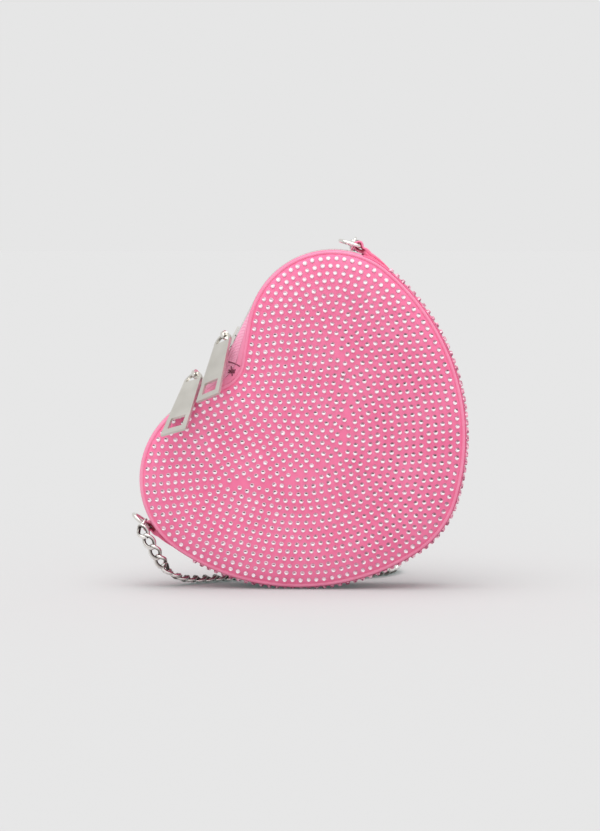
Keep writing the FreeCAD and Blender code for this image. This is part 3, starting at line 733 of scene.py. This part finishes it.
def makeTab(name, side, node):
    outDir = ray(tabs["turn"])
    alongDir = np.array([-outDir[1], outDir[0]])
    seat = lobeC + (heart["lobeRadius"] + heart["stone"]) * outDir
    line, thin = tabLine()
    d = unit(np.gradient(line, axis=0))
    normal = np.stack([d[:, 1], -d[:, 0]], -1)
    profile = np.array(tabs["profile"])
    profile = np.vstack([profile[:0:-1] * (-1, 1), profile]) * (tabs["width"] / 2, tabs["strap"] / 2)
    under = slice(tabs["steps"])

    def layer(sign):
        rows = []
        for y, thick in profile:
            p = line + sign * normal * (thick * thin)[:, None]
            if sign > 0:  # the underside swells down to the purse's edge
                x, z = p[under].T
                ground = tabs["sink"] - heart["stone"] - x ** 2 / (2 * heart["lobeRadius"])
                near = rise(x, tabs["reach"], -tabs["swellOver"])
                p[under, 1] = np.minimum(z, z + (ground - z) * near)
            flat = seat + p[:, :1] * alongDir + p[:, 1:] * outDir
            rows.append(toWorld(flat[:, 0], y, side * flat[:, 1]))
        return rows
    obj = makeBand(name, layer(1), layer(-1), "plain_cloth", node)
    # painted shade: 1 on the strap's inner face next to the ring, darkened in the fold
    inside = np.outer(np.repeat([0.0, 1.0], len(profile)), rise(line[:, 0], tabs["foldFrom"], 1.0))
    addTone(obj.data, "foldPaintedShade", "POINT", inside.ravel())
    return obj


tabPieces = [makeTab("upperTab", 1, "upper_tab"), makeTab("lowerTab", -1, "lower_tab")]

# Lining: thin cloth inside both panels, sagging a little, and round the gusset

lining = dict(half=11.85, inset=2.5, thick=0.4, sag=0.25, sagOver=(9.0, 11.0), rings=10,
              gussetHalf=11.5, gussetFace=2.02, gussetBack=2.45, gussetCut=2.0, gussetRows=7)


def makeLiningSheet(name, side, node):
    k = np.linspace(1, 0, lining["rings"])[:-1]
    flat = heartMiddle + (heartLoop(lining["inset"])[None] - heartMiddle) * k[:, None, None]
    rows, cols = flat.shape[:2]
    waves = np.sin(flat / np.array(lining["sagOver"])).prod(-1)
    sag = np.minimum(lining["sag"] * waves * (1 - k[:, None]), 0)
    faceY, backY = side * (lining["half"] + lining["thick"] / 2), side * (lining["half"] - lining["thick"] / 2)
    top = toWorld(flat[..., 0], faceY, flat[..., 1]).reshape(-1, 3)
    low = toWorld(flat[..., 0], backY + side * sag, flat[..., 1]).reshape(-1, 3)
    poles = toWorld(heartMiddle[0], np.array([faceY, backY]), heartMiddle[1])
    size = rows * cols
    faces = gridFaces(rows, cols, False, True)
    faces = np.vstack([faces, faces[:, ::-1] + size]).tolist()
    j = np.arange(cols)
    j2 = (j + 1) % cols
    end = (rows - 1) * cols
    faces += np.stack([end + j, end + j2, np.full(cols, 2 * size)], -1).tolist()
    faces += np.stack([size + end + j2, size + end + j, np.full(cols, 2 * size + 1)], -1).tolist()
    faces += np.stack([j2, j, size + j, size + j2], -1).tolist()
    return addPiece(name, meshFrom(name, np.vstack([top, low, poles]), faces), "lining_cloth", node)


def makeGussetLining():
    ys = np.linspace(-lining["gussetHalf"], lining["gussetHalf"], lining["gussetRows"])
    outer, inner = ([lineAt(gussetLine(lining[k]), y) for y in ys] for k in ("gussetFace", "gussetBack"))
    return makeBand("gussetLining", outer, inner, "lining_cloth", "gusset_lining")


liningPieces = [makeLiningSheet("frontLining", -1, "front_lining"), makeLiningSheet("backLining", 1, "back_lining"),
                makeGussetLining()]


print("tabs and lining made")

# Materials


def newMaterial(name, settings):
    mat = bpy.data.materials.new(name)
    mat.use_nodes = True
    tree = mat.node_tree
    bsdf = tree.nodes["Principled BSDF"]
    setInputs(bsdf, settings)
    return mat, tree.nodes, tree.links, bsdf


def setInputs(node, settings):
    for name, value in settings.items():
        node.inputs[name].default_value = value


def objectCoords(nodes):
    return nodes.new("ShaderNodeTexCoord").outputs["Object"]


def meshTone(nodes, name):
    n = nodes.new("ShaderNodeVertexColor")
    n.layer_name = name
    return n.outputs["Color"]


def noiseNode(nodes, links, coords, scale, detail):
    n = nodes.new("ShaderNodeTexNoise")
    setInputs(n, {"Scale": scale, "Detail": detail})
    links.new(coords, n.inputs["Vector"])
    return n.outputs["Fac"]


def waveNode(nodes, links, coords, bands, settings):
    n = nodes.new("ShaderNodeTexWave")
    n.bands_direction = bands
    setInputs(n, settings)
    links.new(coords, n.inputs["Vector"])
    return n.outputs["Fac"]


def rangeNode(nodes, links, value, low, high):
    n = nodes.new("ShaderNodeMapRange")
    setInputs(n, {"To Min": low, "To Max": high})
    links.new(value, n.inputs["Value"])
    return n.outputs["Result"]


def rampNode(nodes, links, value, stops):
    n = nodes.new("ShaderNodeValToRGB")
    links.new(value, n.inputs["Fac"])
    ramp = n.color_ramp
    while len(ramp.elements) < len(stops):
        ramp.elements.new(0.5)
    for element, (place, colour) in zip(ramp.elements, stops):
        element.position = place
        element.color = (*colour, 1)
    return n.outputs["Color"]


def bumpNode(nodes, links, value, strength, distance, under=None):
    n = nodes.new("ShaderNodeBump")
    setInputs(n, {"Strength": strength, "Distance": distance})
    links.new(value, n.inputs["Height"])
    if under is not None:
        links.new(under, n.inputs["Normal"])
    return n.outputs["Normal"]


# Satin: a fine weave of two crossing waves, soft patches of tone, and sheen
def satin(name, deep, light, weave=0.00045, rough=0.5, sheen=0.25, fold=None):
    mat, nodes, links, bsdf = newMaterial(name, {
        "Roughness": rough, "Sheen Weight": sheen, "Sheen Roughness": 0.4, "Sheen Tint": (1.0, 0.75, 0.85, 1),
        "Specular IOR Level": 0.35})
    coords = objectCoords(nodes)
    colour = rampNode(nodes, links, noiseNode(nodes, links, coords, 60.0, 4.0), [(0.3, deep), (0.7, light)])
    # painted shade: the strap's inner face in the fold round the ring takes a darker colour
    if fold:  # the inner face of a folded strap is deeper
        mix = nodes.new("ShaderNodeMix")
        mix.data_type = "RGBA"
        links.new(meshTone(nodes, "foldPaintedShade"), mix.inputs[0])
        links.new(colour, mix.inputs[6])
        mix.inputs[7].default_value = (*fold, 1)
        colour = mix.outputs[2]
    links.new(colour, bsdf.inputs["Base Color"])
    both = nodes.new("ShaderNodeMath")
    both.operation = "MULTIPLY"
    for k, bands in enumerate("XZ"):
        wave = waveNode(nodes, links, coords, bands, {"Scale": 0.314 / weave, "Distortion": 0.6, "Detail": 1.0})
        links.new(wave, both.inputs[k])
    creased = bumpNode(nodes, links, noiseNode(nodes, links, coords, 220.0, 2.0), 0.15, 0.0004)
    links.new(bumpNode(nodes, links, both.outputs[0], 0.35, 0.00012, creased), bsdf.inputs["Normal"])
    return mat


# Tape: ribs that run along the zip, with a fine twill across them
def ribbedTape(name, deep, light):
    mat, nodes, links, bsdf = newMaterial(name, {"Roughness": 0.62, "Sheen Weight": 0.2})
    uv = nodes.new("ShaderNodeUVMap")
    uv.uv_map = "along"
    ribs = waveNode(nodes, links, uv.outputs["UV"], "Y", {"Scale": 0.26})
    twill = waveNode(nodes, links, uv.outputs["UV"], "DIAGONAL", {"Scale": 0.42, "Distortion": 0.8})
    links.new(rampNode(nodes, links, twill, [(0.15, deep), (0.85, light)]), bsdf.inputs["Base Color"])
    first = bumpNode(nodes, links, ribs, 0.5, 0.00025)
    links.new(bumpNode(nodes, links, twill, 0.5, 0.00018, first), bsdf.inputs["Normal"])
    return mat


# Stones: foil-backed glass, its facets toned by the mesh's painted light attribute, with a small painted glow
def stoneFinish(name, stops, glow):
    mat, nodes, links, bsdf = newMaterial(name, {
        "Emission Strength": glow, "Roughness": 0.14, "Coat Weight": 0.5, "Coat Roughness": 0.05})
    colour = rampNode(nodes, links, meshTone(nodes, "facetPaintedLight"), stops)
    links.new(colour, bsdf.inputs["Base Color"])
    # painted glow: the facets give off light in their own painted tone, a sparkle that no lamp makes
    links.new(colour, bsdf.inputs["Emission Color"])  # the foil's sparkle
    return mat


# Plated metal: cloudy polish, fine rubbed scratches
def plated(name, deep, light, rough):
    mat, nodes, links, bsdf = newMaterial(name, {"Metallic": 1.0})
    coords = objectCoords(nodes)
    cloud = noiseNode(nodes, links, coords, 90.0, 4.0)
    links.new(rampNode(nodes, links, cloud, [(0.3, deep), (0.7, light)]), bsdf.inputs["Base Color"])
    links.new(rangeNode(nodes, links, cloud, rough * 0.8, rough * 1.25), bsdf.inputs["Roughness"])
    stretch = nodes.new("ShaderNodeMapping")
    setInputs(stretch, {"Scale": (6000.0, 6000.0, 500.0)})
    links.new(coords, stretch.inputs["Vector"])
    scratches = noiseNode(nodes, links, stretch.outputs["Vector"], 1.0, 2.0)
    links.new(bumpNode(nodes, links, scratches, 0.06, 0.00005), bsdf.inputs["Normal"])
    return mat


# Chain: bright on the outside of each link, dark on the inside of each wire, painted shade where the links meet; the
# same tone also carries the painted shadow under the purse
def chainMetal(name):
    mat, nodes, links, bsdf = newMaterial(name, {"Metallic": 1.0})
    # painted shade: near black where the tone is low, on the wires' inner sides and under the purse
    stops = [(0.2, (0.10, 0.085, 0.08)), (0.5, (0.52, 0.49, 0.46)), (0.8, (0.92, 0.90, 0.87))]
    links.new(rampNode(nodes, links, meshTone(nodes, "linkPaintedShade"), stops), bsdf.inputs["Base Color"])
    rub = noiseNode(nodes, links, objectCoords(nodes), 900.0, 3.0)
    links.new(rangeNode(nodes, links, rub, 0.12, 0.26), bsdf.inputs["Roughness"])
    links.new(bumpNode(nodes, links, rub, 0.08, 0.00008), bsdf.inputs["Normal"])
    return mat


# Board: grey-brown pressed fibre
def fibreBoard(name):
    mat, nodes, links, bsdf = newMaterial(name, {"Roughness": 0.9})
    fleck = noiseNode(nodes, links, objectCoords(nodes), 900.0, 6.0)
    stops = [(0.35, (0.42, 0.35, 0.27)), (0.65, (0.60, 0.52, 0.42))]
    links.new(rampNode(nodes, links, fleck, stops), bsdf.inputs["Base Color"])
    links.new(bumpNode(nodes, links, fleck, 0.3, 0.0002), bsdf.inputs["Normal"])
    return mat


finishes = dict(
    panelSatin=satin("panelSatin", (0.96, 0.185, 0.375), (1.0, 0.235, 0.435)),
    # painted shade: the gusset's satin is a darker copy of the panel's, for the gusset in shade beyond the piping
    gussetShadedSatin=satin("gussetShadedSatin", (0.80, 0.11, 0.27), (0.86, 0.15, 0.32)),
    pipingSatin=satin("pipingSatin", (0.96, 0.25, 0.43), (0.99, 0.33, 0.51), rough=0.42, sheen=0.3),
    facingSatin=satin("facingSatin", (0.94, 0.26, 0.44), (0.98, 0.34, 0.52)),
    # the fold colour is the painted shade inside the strap's fold
    tabSatin=satin("tabSatin", (0.93, 0.21, 0.38), (0.98, 0.28, 0.45), fold=(0.30, 0.005, 0.035)),
    # dark thread for the tack's stitches and for the painted shade along the notch's crease
    tackThreadAndCreaseShade=satin("tackThreadAndCreaseShade", (0.16, 0.03, 0.06), (0.26, 0.06, 0.11)),
    liningCloth=satin("liningCloth", (0.80, 0.22, 0.38), (0.88, 0.30, 0.46), weave=0.0006, rough=0.6),
    zipTape=ribbedTape("zipTape", (0.93, 0.35, 0.53), (0.98, 0.45, 0.61)),
    # stone: painted facet light from near black through mauve to white, with a painted glow
    stone=stoneFinish("stone", [(0.0, (0.02, 0.012, 0.015)), (0.45, (0.42, 0.22, 0.29)),
                                (0.8, (0.92, 0.82, 0.87)), (1.0, (1.0, 1.0, 1.0))], 0.12),
    # edgeStone: painted reflections and shade in the pink of the cloth round the gusset stones, with no glow
    edgeStone=stoneFinish("edgeStone", [(0.0, (0.10, 0.012, 0.03)), (0.4, (0.42, 0.09, 0.18)),
                                        (0.65, (0.88, 0.32, 0.47)), (1.0, (1.0, 0.78, 0.85))], 0.0),
    nickelPull=plated("nickelPull", (0.62, 0.60, 0.55), (0.70, 0.68, 0.63), 0.32),
    nickelBright=plated("nickelBright", (0.74, 0.72, 0.68), (0.84, 0.82, 0.78), 0.16),
    chainNickel=chainMetal("chainNickel"),
    zipMetal=plated("zipMetal", (0.72, 0.71, 0.69), (0.86, 0.85, 0.83), 0.18),
    board=fibreBoard("board"),
)


def dress(obj, finish):
    obj.data.materials.clear()
    obj.data.materials.append(finishes[finish])


def dressNode(node, finish):
    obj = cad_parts[node]
    if not obj.material_slots:
        obj.data.materials.append(finishes[finish])
    for slot in obj.material_slots:
        slot.material = finishes[finish]


pieceFinishes = dict(
    panelSatin=(frontCover, backCover), gussetShadedSatin=(gussetCover,), stone=(frontStones, backStones),
    edgeStone=(gussetStones,), tackThreadAndCreaseShade=(notchTack,), pipingSatin=(frontPiping, backPiping),
    facingSatin=(*zipFacings, coilRibbon), zipTape=zipTapes, tabSatin=tabPieces, liningCloth=liningPieces,
    chainNickel=[piece for piece, line in chainPieces])
nodeFinishes = dict(
    nickelPull=("upper_pull", "lower_pull"),
    nickelBright=("upper_slider", "lower_slider", "upper_ring", "lower_ring", "upper_jump_ring", "lower_jump_ring"),
    zipMetal=("front_zip_teeth", "back_zip_teeth", "zip_end_stops"),
    board=("front_board", "back_board", "gusset_board"))
for finish, pieces in pieceFinishes.items():
    for obj in pieces:
        dress(obj, finish)
for finish, names in nodeFinishes.items():
    for node in names:
        dressNode(node, finish)
print("materials set")

# Stage: a pale floor that keeps the shadow, and plain soft light

stageSet = dict(tone=0.791, ground=(0.55, 0.522, 0.527), open=1.372, worldLight=0.75, reach=60.0,
                sun=2.0, sunAim=(0.05, 0.22, -1.0), sunSoft=70, fill=0.1, fillAim=(0.0, 0.9, -0.4), fillSoft=80)


def makeFloor():
    mesh = bpy.data.meshes.new("floor")
    r = stageSet["reach"]
    mesh.from_pydata([(-r, -r, 0), (r, -r, 0), (r, r, 0), (-r, r, 0)], [], [(0, 1, 2, 3)])
    obj = bpy.data.objects.new("floor", mesh)
    scene.collection.objects.link(obj)
    # what open floor lacks to be as pale as the backdrop it gives off itself
    glow = [stageSet["tone"] - g * stageSet["open"] for g in stageSet["ground"]]
    mesh.materials.append(newMaterial("floorPaper", {
        "Base Color": (*stageSet["ground"], 1), "Roughness": 1.0, "Specular IOR Level": 0.0,
        "Emission Color": (*glow, 1), "Emission Strength": 1.0})[0])


def makeWorld():
    world = bpy.data.worlds.new("studio")
    scene.world = world
    world.use_nodes = True
    nodes, links = world.node_tree.nodes, world.node_tree.links
    nodes.clear()
    out = nodes.new("ShaderNodeOutputWorld")
    seen = nodes.new("ShaderNodeBackground")
    seen.inputs["Color"].default_value = (stageSet["tone"],) * 3 + (1,)
    lit = nodes.new("ShaderNodeBackground")
    lit.inputs["Color"].default_value = (1, 1, 1, 1)
    lit.inputs["Strength"].default_value = stageSet["worldLight"]
    path = nodes.new("ShaderNodeLightPath")
    chosen = path.outputs["Is Camera Ray"]
    for ray in ("Is Glossy Ray", "Is Transmission Ray"):
        add = nodes.new("ShaderNodeMath")
        add.operation = "ADD"
        add.use_clamp = True
        links.new(chosen, add.inputs[0])
        links.new(path.outputs[ray], add.inputs[1])
        chosen = add.outputs[0]
    mix = nodes.new("ShaderNodeMixShader")
    links.new(chosen, mix.inputs["Fac"])
    links.new(lit.outputs[0], mix.inputs[1])
    links.new(seen.outputs[0], mix.inputs[2])
    links.new(mix.outputs[0], out.inputs["Surface"])


def makeSun(name, aim, soft, strength):
    data = bpy.data.lights.new(name, "SUN")
    data.energy = strength
    data.angle = math.radians(soft)
    obj = bpy.data.objects.new(name, data)
    scene.collection.objects.link(obj)
    obj.rotation_mode = "QUATERNION"
    obj.rotation_quaternion = Vector(aim).to_track_quat("-Z", "Y")


makeFloor()
makeWorld()
makeSun("keySun", stageSet["sunAim"], stageSet["sunSoft"], stageSet["sun"])
makeSun("frontFill", stageSet["fillAim"], stageSet["fillSoft"], stageSet["fill"])
print("stage set")
